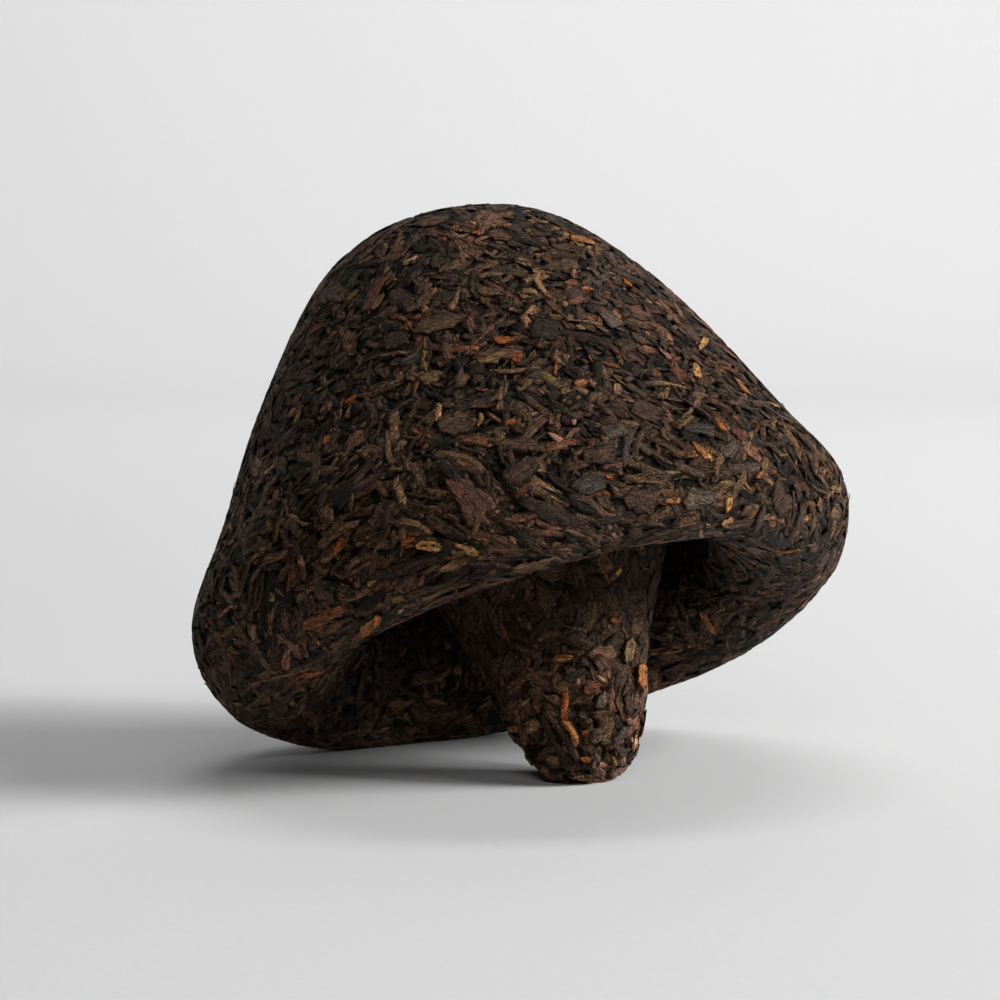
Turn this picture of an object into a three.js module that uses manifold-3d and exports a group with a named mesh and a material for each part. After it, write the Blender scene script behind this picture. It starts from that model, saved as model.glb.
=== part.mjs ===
// Mushroom-shaped cake of pressed dark tea, lying as it comes to rest: the rolled brim and the tip
// of the stalk both touch the table, so the cap leans and the hollow round the stalk can be seen into.
//
// One closed solid. The profile is drawn from the crown down the outside of the cap, round the
// rolled brim, up into the hollow, and down the stalk to its tip. It is turned about the cake's own
// axis, made uneven the way a hand-pressed cake is, laid over until brim and stalk meet the table,
// and pressed flat where it touches.
//
// Millimetres, +Z up, origin under the middle of the bounding box, on the table.

import * as THREE from "three";
import { mergeVertices } from "three/addons/utils/BufferGeometryUtils.js";
import Module from "manifold-3d";

// ---- Driving dimensions (mm; heights are measured from the crown along the cake's axis) ----
const CAP_HEIGHT = 71.0; // crown to the plane of the mouth
const CROWN_RADIUS = 17.6; // radius close under the crown
const SHOULDER_RADIUS = 26.6;
const FLANK_RADIUS = 36.9;
const NECK_RADIUS = 45.8; // where the straight flank starts to swell into the brim
const BRIM_RADIUS = 51.1; // widest
const BRIM_TURN_RADIUS = 48.7; // where the brim turns under
const LIP_RADIUS = 42.4; // lowest line of the brim
const MOUTH_RADIUS = 35.4; // inside of the brim, where its roll runs out into the wall of the hollow
const MOUTH_RISE = 3.1; // how far that is above the mouth plane
const WALL_RADIUS = 28.2; // sloping wall of the hollow, half way up
const WALL_RISE = 10.5; // above the mouth plane
const ROOF_RADIUS = 25.3; // deepest line of the hollow
const ROOF_DEPTH = 23.0; // depth of the hollow
const FILLET_RADIUS = [23.0, 20.3]; // stalk where it leaves the roof, in two steps
const FILLET_RISE = [23.0, 17.4]; // above the mouth plane
const STALK_RADIUS = 13.4; // stalk at the mouth plane
const STALK_OUT = 21.1; // how far the tip stands past the mouth plane
const TIP_RADIUS = 8.1; // stalk where its rounded tip begins
const TIP_ROUND = 5.0; // length of the rounded tip

// Fractions of CAP_HEIGHT at which the outside radii are given.
const STATIONS = { crown: 0.05, shoulder: 0.18, flank: 0.42, neck: 0.66, brim: 0.82, turn: 0.95 };

// Unevenness. Angles run round the axis from the raised side of the brim.
const BRIM_SHIFT = 0.093; // the brim sits off the crown's axis, as a part of its radius
const BRIM_OVAL = 0.02; // and is slightly oval
const BRIM_THREE = 0.006; // and three-sided
const FLANK_OVAL = [-0.042, 0.009]; // cosine and sine of twice the angle, half way down the cap
const RISE_ONE = [-1.5, 1.7]; // waves of the brim's height, mm: once round
const RISE_TWO = [-0.5, 0.4]; // twice round
const RISE_THREE = 0.25; // three times round
const CROWN_LEAN = [-3.3, 3.4]; // crown off the axis, mm
const TIP_LEAN = [0.2, 1.1]; // stalk tip off the axis, mm
const PINCH = 0.06; // the hollow is narrower along one line, as a part of its radius
const PINCH_DIRECTION = -63; // angle of that line, degrees
const LUMP = 0.35; // height of the soft lumps left by the pressing cloth

// How it lies.
const LEAN_DIRECTION = -60.93; // compass direction in which the stalk points, degrees from +X
const BRIM_FLAT = 0.7; // depth to which the brim is flattened by its own weight
const STALK_FLAT = 1.0; // and the stalk's tip

const SEGMENTS = 84; // round the axis
const RINGS = 54; // along the profile

// ---- Profile ----

// Cubic spline through the values y at parameters t, with set end slopes.
function clampedSpline(t, y, slope0, slope1) {
  const n = t.length;
  const a = new Array(n).fill(0), b = new Array(n).fill(0), c = new Array(n).fill(0), d = new Array(n).fill(0);
  b[0] = 1; d[0] = slope0; b[n - 1] = 1; d[n - 1] = slope1;
  for (let i = 1; i < n - 1; i++) {
    const h0 = t[i] - t[i - 1], h1 = t[i + 1] - t[i];
    a[i] = h1; b[i] = 2 * (h0 + h1); c[i] = h0;
    d[i] = 3 * ((h1 * (y[i] - y[i - 1])) / h0 + (h0 * (y[i + 1] - y[i])) / h1);
  }
  for (let i = 1; i < n; i++) {
    const w = a[i] / b[i - 1];
    b[i] -= w * c[i - 1];
    d[i] -= w * d[i - 1];
  }
  const m = new Array(n);
  m[n - 1] = d[n - 1] / b[n - 1];
  for (let i = n - 2; i >= 0; i--) m[i] = (d[i] - c[i] * m[i + 1]) / b[i];
  return (x) => {
    let i = 0;
    while (i < n - 2 && x > t[i + 1]) i++;
    const h = t[i + 1] - t[i], u = (x - t[i]) / h;
    const u2 = u * u, u3 = u2 * u;
    return (2 * u3 - 3 * u2 + 1) * y[i] + (u3 - 2 * u2 + u) * h * m[i] + (-2 * u3 + 3 * u2) * y[i + 1] + (u3 - u2) * h * m[i + 1];
  };
}

function profileKnots() {
  const H = CAP_HEIGHT, tipStart = H + STALK_OUT - TIP_ROUND;
  return [
    [0, 0],
    [CROWN_RADIUS, STATIONS.crown * H],
    [SHOULDER_RADIUS, STATIONS.shoulder * H],
    [FLANK_RADIUS, STATIONS.flank * H],
    [NECK_RADIUS, STATIONS.neck * H],
    [BRIM_RADIUS, STATIONS.brim * H],
    [BRIM_TURN_RADIUS, STATIONS.turn * H],
    [LIP_RADIUS, H],
    [MOUTH_RADIUS, H - MOUTH_RISE],
    [WALL_RADIUS, H - WALL_RISE],
    [ROOF_RADIUS, H - ROOF_DEPTH],
    [FILLET_RADIUS[0], H - FILLET_RISE[0]],
    [FILLET_RADIUS[1], H - FILLET_RISE[1]],
    [STALK_RADIUS, H],
    [TIP_RADIUS, tipStart],
    [TIP_RADIUS * 0.62, H + STALK_OUT - TIP_ROUND * 0.22],
    [0, H + STALK_OUT],
  ];
}
const TURN_KNOT = 6; // outside of the cap ends here
const MOUTH_KNOT = 8; // brim ends
const ROOF_KNOT = 10; // wall of the hollow ends
const LIP_KNOT = 7, WALL_KNOT = 9; // the pinch fades in from the lip and out from the wall
// The stalk starts one knot further on than the roof.

function makeProfile() {
  const k = profileKnots(), n = k.length;
  const t = [0];
  for (let i = 1; i < n; i++) t.push(t[i - 1] + Math.hypot(k[i][0] - k[i - 1][0], k[i][1] - k[i - 1][1]) ** 0.7);
  const r = clampedSpline(t, k.map((p) => p[0]), (1.35 * k[1][0]) / t[1], (-1.2 * k[n - 2][0]) / (t[n - 1] - t[n - 2]));
  const s = clampedSpline(t, k.map((p) => p[1]), 0, 0);
  const rings = [];
  for (let i = 0; i < RINGS; i++) {
    const x = (t[n - 1] * i) / (RINGS - 1);
    const end = i === 0 || i === RINGS - 1;
    const depth = s(x);
    const part = x <= t[TURN_KNOT] ? "cap" : x <= t[MOUTH_KNOT] ? "brim" : x <= t[ROOF_KNOT + 1] ? "hollow" : "stalk";
    const h = THREE.MathUtils.clamp(depth / CAP_HEIGHT, 0, 1);
    const inward = THREE.MathUtils.clamp(1 - (x - t[MOUTH_KNOT]) / (t[ROOF_KNOT + 1] - t[MOUTH_KNOT]), 0, 1);
    rings.push({
      u: i / (RINGS - 1),
      radius: end ? 0 : Math.max(r(x), 0),
      depth,
      part,
      brim: part === "cap" ? h ** 1.5 : part === "brim" ? 1 : inward, // how much the ring follows the brim
      flank: part === "cap" ? Math.sin(Math.PI * h) : 0,
      crown: part === "cap" ? (1 - h) ** 1.5 : 0,
      tip: THREE.MathUtils.clamp((x - t[ROOF_KNOT + 1]) / (t[n - 1] - t[ROOF_KNOT + 1]), 0, 1),
      pinch:
        THREE.MathUtils.clamp((x - t[LIP_KNOT]) / (t[MOUTH_KNOT] - t[LIP_KNOT]), 0, 1) *
        THREE.MathUtils.clamp((t[ROOF_KNOT] - x) / (t[ROOF_KNOT] - t[WALL_KNOT]), 0, 1),
    });
  }
  return rings;
}

// Soft lumps, fading out at both poles.
function lump(theta, u) {
  const fade = Math.sin(Math.PI * u) ** 0.5;
  return (
    LUMP * fade *
    (0.5 * Math.sin(5 * theta + 23 * u + 0.7) + 0.35 * Math.sin(8 * theta - 31 * u + 2.1) +
      0.3 * Math.sin(3 * theta + 41 * u + 4.0) + 0.25 * Math.sin(11 * theta + 17 * u + 1.3))
  );
}

// Where the point of a ring at angle theta lies: x and y across the axis, depth along it.
function uneven(ring, theta) {
  const c = Math.cos(theta), s = Math.sin(theta);
  const brim = BRIM_SHIFT * s + BRIM_OVAL * Math.sin(2 * theta) + BRIM_THREE * Math.cos(3 * theta);
  const flank = FLANK_OVAL[0] * Math.cos(2 * theta) + FLANK_OVAL[1] * Math.sin(2 * theta);
  const rise =
    RISE_ONE[0] * c + RISE_ONE[1] * s + RISE_TWO[0] * Math.cos(2 * theta) + RISE_TWO[1] * Math.sin(2 * theta) +
    RISE_THREE * Math.sin(3 * theta);
  const pinch = -PINCH * Math.cos(theta - THREE.MathUtils.degToRad(PINCH_DIRECTION)) ** 2;
  const radius = ring.radius === 0 ? 0 : ring.radius * (1 + ring.brim * brim + ring.flank * flank + ring.pinch * pinch) + lump(theta, ring.u);
  return {
    x: radius * c + ring.crown * CROWN_LEAN[0] + ring.tip * TIP_LEAN[0],
    y: radius * s + ring.crown * CROWN_LEAN[1] + ring.tip * TIP_LEAN[1],
    depth: ring.depth + ring.brim ** 1.5 * rise,
  };
}

// The turned skin, upright: crown at the top, axis along Z, stalk pointing down.
function makeSkin(rings) {
  // A lathe turns the profile about Y; each of its points is then moved to its uneven place.
  const outline = rings.map((q) => new THREE.Vector2(q.radius, -q.depth)).reverse();
  const lathe = new THREE.LatheGeometry(outline, SEGMENTS);
  const position = lathe.getAttribute("position");
  const per = rings.length;
  for (let i = 0; i <= SEGMENTS; i++) {
    const theta = (2 * Math.PI * (i % SEGMENTS)) / SEGMENTS;
    for (let j = 0; j < per; j++) {
      const p = uneven(rings[per - 1 - j], theta);
      position.setXYZ(i * per + j, p.x, -p.y, -p.depth);
    }
  }
  lathe.deleteAttribute("normal");
  lathe.deleteAttribute("uv");
  return mergeVertices(lathe, 1e-4);
}

// The lean at which brim and stalk reach the table together, each to its own flattened depth.
function restingLean(rings) {
  const reach = (parts, lean) => {
    let deepest = -Infinity;
    for (const ring of rings) {
      if (!parts.includes(ring.part) || (ring.part === "cap" && ring.depth < 0.3 * CAP_HEIGHT)) continue;
      for (let i = 0; i < SEGMENTS; i++) {
        const p = uneven(ring, (2 * Math.PI * i) / SEGMENTS);
        deepest = Math.max(deepest, p.depth * Math.cos(lean) - p.x * Math.sin(lean));
      }
    }
    return deepest;
  };
  let low = 0.05, high = 1.2;
  for (let i = 0; i < 40; i++) {
    const lean = (low + high) / 2;
    const gap = reach(["cap", "brim"], lean) - BRIM_FLAT - (reach(["stalk"], lean) - STALK_FLAT);
    if (gap > 0) high = lean;
    else low = lean;
  }
  return (low + high) / 2;
}

// ---- Laying it down ----
const wasm = await Module();
wasm.setup();

function toSolid(geometry) {
  const g = mergeVertices(geometry, 1e-4);
  const triVerts = new Uint32Array(g.index.array);
  const make = () => new wasm.Manifold(new wasm.Mesh({ numProp: 3, vertProperties: new Float32Array(g.attributes.position.array), triVerts }));
  let solid = make();
  if (solid.volume() < 0) {
    for (let i = 0; i < triVerts.length; i += 3) [triVerts[i + 1], triVerts[i + 2]] = [triVerts[i + 2], triVerts[i + 1]];
    solid = make();
  }
  return solid;
}

function toGeometry(solid) {
  const mesh = solid.getMesh();
  const positions = new Float32Array(mesh.numVert * 3);
  for (let i = 0; i < mesh.numVert; i++) for (let k = 0; k < 3; k++) positions[3 * i + k] = mesh.vertProperties[mesh.numProp * i + k];
  const g = new THREE.BufferGeometry();
  g.setAttribute("position", new THREE.BufferAttribute(positions, 3));
  g.setIndex(Array.from(mesh.triVerts));
  return g;
}

const rings = makeProfile();
const lean = restingLean(rings);
const skin = makeSkin(rings);
skin.applyMatrix4(new THREE.Matrix4().makeRotationY(-lean));
skin.applyMatrix4(new THREE.Matrix4().makeRotationZ(THREE.MathUtils.degToRad(LEAN_DIRECTION)));
skin.computeBoundingBox();
// The stalk's tip is the lowest point, by its flattened depth.
skin.translate(0, 0, -skin.boundingBox.min.z - STALK_FLAT);

// Pressed flat on the table: everything below it goes.
const below = new THREE.BoxGeometry(300, 300, 20);
below.deleteAttribute("normal");
below.deleteAttribute("uv");
below.translate(0, 0, -10);
const cake = toGeometry(toSolid(skin).subtract(toSolid(below)));
cake.computeBoundingBox();
const middle = cake.boundingBox.getCenter(new THREE.Vector3());
cake.translate(-middle.x, -middle.y, 0);
cake.computeVertexNormals();

const tea = new THREE.Mesh(cake, new THREE.MeshStandardMaterial({ color: 0x2e251f, roughness: 0.86, metalness: 0 }));
tea.name = "pressed_tea";

const part = new THREE.Group();
part.name = "mushroom_tea_cake";
part.add(tea);
part.userData = { leanDegrees: THREE.MathUtils.radToDeg(lean), middle: middle.toArray() };

export default part;
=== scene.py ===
"""Looks of a mushroom-shaped cake of pressed dark tea: a dark core carries thousands of separately
shaped leaves, chips and stems, each a small closed mesh pressed onto the cake's surface."""

import math

import bpy
import numpy as np
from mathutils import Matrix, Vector
from mathutils.bvhtree import BVHTree
from mathutils.kdtree import KDTree


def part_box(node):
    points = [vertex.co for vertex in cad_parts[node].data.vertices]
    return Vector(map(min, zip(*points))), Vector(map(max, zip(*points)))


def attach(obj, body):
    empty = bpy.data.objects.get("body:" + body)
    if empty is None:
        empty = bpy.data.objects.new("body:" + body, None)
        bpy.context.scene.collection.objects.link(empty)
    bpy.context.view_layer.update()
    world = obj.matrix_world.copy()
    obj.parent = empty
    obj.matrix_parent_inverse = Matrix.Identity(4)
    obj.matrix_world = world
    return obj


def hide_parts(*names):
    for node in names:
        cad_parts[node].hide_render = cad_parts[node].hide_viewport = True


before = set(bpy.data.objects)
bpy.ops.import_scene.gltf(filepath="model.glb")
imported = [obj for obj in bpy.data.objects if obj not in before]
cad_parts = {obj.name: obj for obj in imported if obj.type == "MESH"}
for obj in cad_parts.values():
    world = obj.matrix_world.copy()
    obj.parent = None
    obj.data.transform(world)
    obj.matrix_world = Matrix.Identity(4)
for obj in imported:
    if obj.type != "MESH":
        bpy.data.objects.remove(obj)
cad_low, cad_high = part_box("pressed_tea")
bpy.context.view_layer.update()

MM = 0.001

# ------------------------------------------------------------------ the camera
# Worked out from the outline in the photograph, whose frame is 1000 x 1000.
CAM_TARGET = np.array([-3.585, 24.61, 39.5])
CAM_DISTANCE = 544.65
CAM_ELEVATION = 0.0820
CAM_PIXELS = 6.2878 * CAM_DISTANCE  # focal length in pixels

cam_forward = np.array([0.0, math.cos(CAM_ELEVATION), -math.sin(CAM_ELEVATION)])
cam_up = np.array([0.0, math.sin(CAM_ELEVATION), math.cos(CAM_ELEVATION)])
cam_right = np.array([1.0, 0.0, 0.0])
cam_place = CAM_TARGET - cam_forward * CAM_DISTANCE

camera_data = bpy.data.cameras.new("camera")
camera_data.sensor_width = 36.0
camera_data.lens = CAM_PIXELS * 36.0 / 1000.0
camera_data.clip_start = 0.01
camera_data.clip_end = 20.0
camera = bpy.data.objects.new("camera", camera_data)
camera.location = Vector(cam_place * MM)
camera.rotation_euler = (math.pi / 2 - CAM_ELEVATION, 0.0, 0.0)
bpy.context.scene.collection.objects.link(camera)
bpy.context.scene.camera = camera

# ------------------------------------------------------------------ the cake's smooth surface (mm)
# The same turned and unevened profile as the CAD solid, sampled finely.
CAP_HEIGHT = 71.0
OUTSIDE = [(0.05, 17.6), (0.18, 26.6), (0.42, 36.9), (0.66, 45.8), (0.82, 51.1), (0.95, 48.7)]
LIP_RADIUS = 42.4
MOUTH_RADIUS, MOUTH_RISE = 35.4, 3.1
WALL_RADIUS, WALL_RISE = 28.2, 10.5
ROOF_RADIUS, ROOF_DEPTH = 25.3, 23.0
FILLET_RADIUS, FILLET_RISE = (23.0, 20.3), (23.0, 17.4)
STALK_RADIUS, STALK_OUT = 13.4, 21.1
TIP_RADIUS, TIP_ROUND = 8.1, 5.0
LEAN = math.radians(25.5586)
LEAN_DIRECTION = math.radians(-60.93)

axis = np.array([math.sin(LEAN) * math.cos(LEAN_DIRECTION), math.sin(LEAN) * math.sin(LEAN_DIRECTION), -math.cos(LEAN)])
across = np.array([math.cos(LEAN) * math.cos(LEAN_DIRECTION), math.cos(LEAN) * math.sin(LEAN_DIRECTION), math.sin(LEAN)])
aside = np.cross(axis, across)


def spline(t, y, slope0, slope1, x):
    n = len(t)
    h = np.diff(t)
    a = np.zeros((n, n))
    d = np.zeros(n)
    a[0, 0] = a[-1, -1] = 1
    d[0], d[-1] = slope0, slope1
    for i in range(1, n - 1):
        a[i, i - 1], a[i, i], a[i, i + 1] = h[i], 2 * (h[i - 1] + h[i]), h[i - 1]
        d[i] = 3 * (h[i] * (y[i] - y[i - 1]) / h[i - 1] + h[i - 1] * (y[i + 1] - y[i]) / h[i])
    m = np.linalg.solve(a, d)
    i = np.clip(np.searchsorted(t, x, side="left") - 1, 0, n - 2)
    hh = h[i]
    u = (x - t[i]) / hh
    return (2 * u**3 - 3 * u**2 + 1) * y[i] + (u**3 - 2 * u**2 + u) * hh * m[i] + (-2 * u**3 + 3 * u**2) * y[i + 1] + (u**3 - u**2) * hh * m[i + 1]


knots = np.array(
    [(0, 0)]
    + [(r, f * CAP_HEIGHT) for f, r in OUTSIDE]
    + [
        (LIP_RADIUS, CAP_HEIGHT),
        (MOUTH_RADIUS, CAP_HEIGHT - MOUTH_RISE),
        (WALL_RADIUS, CAP_HEIGHT - WALL_RISE),
        (ROOF_RADIUS, CAP_HEIGHT - ROOF_DEPTH),
        (FILLET_RADIUS[0], CAP_HEIGHT - FILLET_RISE[0]),
        (FILLET_RADIUS[1], CAP_HEIGHT - FILLET_RISE[1]),
        (STALK_RADIUS, CAP_HEIGHT),
        (TIP_RADIUS, CAP_HEIGHT + STALK_OUT - TIP_ROUND),
        (TIP_RADIUS * 0.62, CAP_HEIGHT + STALK_OUT - TIP_ROUND * 0.22),
        (0, CAP_HEIGHT + STALK_OUT),
    ],
    float,
)
knot_t = np.concatenate([[0], np.cumsum(np.hypot(*np.diff(knots, axis=0).T) ** 0.7)])
T_TURN, T_MOUTH, T_ROOF = knot_t[6], knot_t[8], knot_t[11]


def surface(theta, x):
    """Points of the smooth cake, mm, at angles theta and profile parameters x (same shape), with how much each follows brim, stalk tip and hollow."""
    r = np.maximum(spline(knot_t, knots[:, 0], 1.35 * knots[1, 0] / knot_t[1], -1.2 * knots[-2, 0] / (knot_t[-1] - knot_t[-2]), x), 0)
    depth = spline(knot_t, knots[:, 1], 0, 0, x)
    cap = x <= T_TURN
    brim_part = (x > T_TURN) & (x <= T_MOUTH)
    h = np.clip(depth / CAP_HEIGHT, 0, 1)
    inward = np.clip(1 - (x - T_MOUTH) / (T_ROOF - T_MOUTH), 0, 1)
    brim = np.where(cap, h**1.5, np.where(brim_part, 1.0, inward))
    flank = np.where(cap, np.sin(math.pi * h), 0)
    crown = np.where(cap, (1 - h) ** 1.5, 0)
    tip = np.clip((x - T_ROOF) / (knot_t[-1] - T_ROOF), 0, 1)
    u = x / knot_t[-1]
    c, s = np.cos(theta), np.sin(theta)
    wave = 0.093 * s + 0.02 * np.sin(2 * theta) + 0.006 * np.cos(3 * theta)
    oval = -0.042 * np.cos(2 * theta) + 0.009 * np.sin(2 * theta)
    rise = -1.5 * c + 1.7 * s - 0.5 * np.cos(2 * theta) + 0.4 * np.sin(2 * theta) + 0.25 * np.sin(3 * theta)
    fade = np.sqrt(np.clip(np.sin(math.pi * u), 0, 1))
    lump = 0.35 * fade * (
        0.5 * np.sin(5 * theta + 23 * u + 0.7)
        + 0.35 * np.sin(8 * theta - 31 * u + 2.1)
        + 0.3 * np.sin(3 * theta + 41 * u + 4.0)
        + 0.25 * np.sin(11 * theta + 17 * u + 1.3)
    )
    fades = np.clip((x - knot_t[7]) / (knot_t[8] - knot_t[7]), 0, 1) * np.clip((knot_t[10] - x) / (knot_t[10] - knot_t[9]), 0, 1)
    pinch = -0.06 * np.cos(theta - math.radians(-63)) ** 2
    radius = r * (1 + brim * wave + flank * oval + fades * pinch) + lump
    px = radius * c - 3.3 * crown + 0.2 * tip
    py = radius * s + 3.4 * crown + 1.1 * tip
    pd = depth + brim**1.5 * rise
    p = pd[..., None] * axis + px[..., None] * across + py[..., None] * aside
    return p, brim, tip, inward * ~cap * ~brim_part


AROUND, ALONG = 300, 250
grid_theta, grid_x = np.meshgrid(np.arange(AROUND) * 2 * math.pi / AROUND, np.linspace(0, knot_t[-1], ALONG), indexing="xy")
base, base_brim, base_tip, base_in = surface(grid_theta, grid_x)
base[0] = base[0].mean(0)
base[-1] = base[-1].mean(0)
# Onto the CAD solid: the same middle and the same top.
low, high = base.reshape(-1, 3).min(0), base.reshape(-1, 3).max(0)
shift = np.array(
    [
        (cad_low.x + cad_high.x) / 2 / MM - (low[0] + high[0]) / 2,
        (cad_low.y + cad_high.y) / 2 / MM - (low[1] + high[1]) / 2,
        cad_high.z / MM - high[2],
    ]
)
base = base + shift


def grid_triangles(n, m):
    i, j = np.meshgrid(np.arange(n - 1), np.arange(m), indexing="ij")
    a, b, c, d = i * m + j, i * m + (j + 1) % m, (i + 1) * m + (j + 1) % m, (i + 1) * m + j
    return np.concatenate([np.stack([a, d, c], -1).reshape(-1, 3), np.stack([a, c, b], -1).reshape(-1, 3)])


def unit(v):
    return v / np.maximum(np.linalg.norm(v, axis=-1, keepdims=True), 1e-12)


verts = base.reshape(-1, 3)
tris = grid_triangles(ALONG, AROUND)
face_cross = np.cross(verts[tris[:, 1]] - verts[tris[:, 0]], verts[tris[:, 2]] - verts[tris[:, 0]])
volume = np.einsum("ij,ij->i", verts[tris[:, 0]], face_cross).sum()
if volume < 0:
    tris = tris[:, ::-1]
    face_cross = -face_cross
normals = np.zeros_like(verts)
for k in range(3):
    np.add.at(normals, tris[:, k], face_cross)
normals[:AROUND] = normals[:AROUND].mean(0)
normals[-AROUND:] = normals[-AROUND:].mean(0)
normals = unit(normals)
areas = np.linalg.norm(face_cross, axis=1) / 2
keep = areas > 1e-9
tris, areas = tris[keep], areas[keep]
round_way = unit(np.roll(base, -1, 1) - np.roll(base, 1, 1) + 1e-9).reshape(-1, 3)
brimness, tipness, inness = base_brim.ravel(), base_tip.ravel(), base_in.ravel()
deepness = (np.clip((grid_x - T_MOUTH) / (knot_t[9] - T_MOUTH), 0, 1) * np.clip((knot_t[12] - grid_x) / (knot_t[12] - T_ROOF), 0, 1)).ravel()
profile_at = (grid_x / knot_t[-1]).ravel()
tree = BVHTree.FromPolygons(verts.tolist(), tris.tolist(), all_triangles=True)


def settle(points, full=False):
    """The nearest places on the smooth cake and the smooth normals there; in full also the way round and the kind of place."""
    flat = points.reshape(-1, 3)
    hit = np.empty_like(flat)
    index = np.empty(len(flat), int)
    find = tree.find_nearest
    for n, p in enumerate(flat.tolist()):
        at, _, k, _ = find(p)
        hit[n] = at
        index[n] = k
    t = tris[index]
    a, b, c = verts[t[:, 0]], verts[t[:, 1]], verts[t[:, 2]]
    n = np.cross(b - a, c - a)
    nn = np.einsum("ij,ij->i", n, n)
    wb = np.clip(np.einsum("ij,ij->i", np.cross(hit - a, c - a), n) / nn, 0, 1)
    wc = np.clip(np.einsum("ij,ij->i", np.cross(b - a, hit - a), n) / nn, 0, 1)
    wa = np.clip(1 - wb - wc, 0, 1)

    def mix(f):
        if f.ndim == 2:
            return wa[:, None] * f[t[:, 0]] + wb[:, None] * f[t[:, 1]] + wc[:, None] * f[t[:, 2]]
        return wa * f[t[:, 0]] + wb * f[t[:, 1]] + wc * f[t[:, 2]]

    normal = unit(mix(normals))
    if full:
        return hit, normal, unit(mix(round_way)), mix(brimness), mix(tipness), mix(deepness)
    return hit.reshape(points.shape), normal.reshape(points.shape)


# ------------------------------------------------------------------ noise
def hashed(ix, iy, iz, seed):
    n = (ix * 374761393 + iy * 668265263 + iz * 2147483647 + seed * 144665) & 0xFFFFFFFF
    n = ((n ^ (n >> 13)) * 1274126177) & 0xFFFFFFFF
    n = ((n ^ (n >> 16)) * 2246822519) & 0xFFFFFFFF
    return ((n ^ (n >> 15)) & 0xFFFFFF) / float(0xFFFFFF)


def noise(p, size, seed):
    """Smooth value noise, -1 to 1, of points in mm."""
    q = np.asarray(p) / size + 1000.0
    i = np.floor(q).astype(np.int64)
    f = q - i
    f = f * f * f * (f * (f * 6 - 15) + 10)
    out = 0
    for dx in (0, 1):
        for dy in (0, 1):
            for dz in (0, 1):
                w = (f[..., 0] if dx else 1 - f[..., 0]) * (f[..., 1] if dy else 1 - f[..., 1]) * (f[..., 2] if dz else 1 - f[..., 2])
                out = out + w * hashed(i[..., 0] + dx, i[..., 1] + dy, i[..., 2] + dz, seed)
    return out * 2 - 1


# ------------------------------------------------------------------ colours, as the leaves' own (linear)
def srgb(r, g, b):
    c = np.array([r, g, b]) / 255.0
    return np.where(c <= 0.04045, c / 12.92, ((c + 0.055) / 1.055) ** 2.4)


DARK = srgb(62, 46, 35)
BROWN = srgb(97, 70, 53)
BLACK = srgb(28, 21, 17)
SLATE = srgb(55, 47, 42)
RUSSET = srgb(90, 56, 39)
PLUM = srgb(75, 52, 42)
OLIVE = srgb(97, 75, 52)
TAN = srgb(130, 100, 68)
AMBER = srgb(172, 104, 54)
GOLD = srgb(178, 128, 74)
SHADES = np.array([DARK, BROWN, BLACK, SLATE, RUSSET, PLUM, OLIVE, TAN])
SHARES = np.array([0.35, 0.27, 0.17, 0.05, 0.03, 0.075, 0.03, 0.025])


def colours(rng, n, shares=SHARES, spread=0.3):
    pick = rng.choice(len(SHADES), n, p=np.array(shares) / np.sum(shares))
    c = SHADES[pick] * 1.25 * np.exp(rng.normal(0, spread, (n, 1))) * np.exp(rng.normal(0, 0.05, (n, 3)))
    return c


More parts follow.
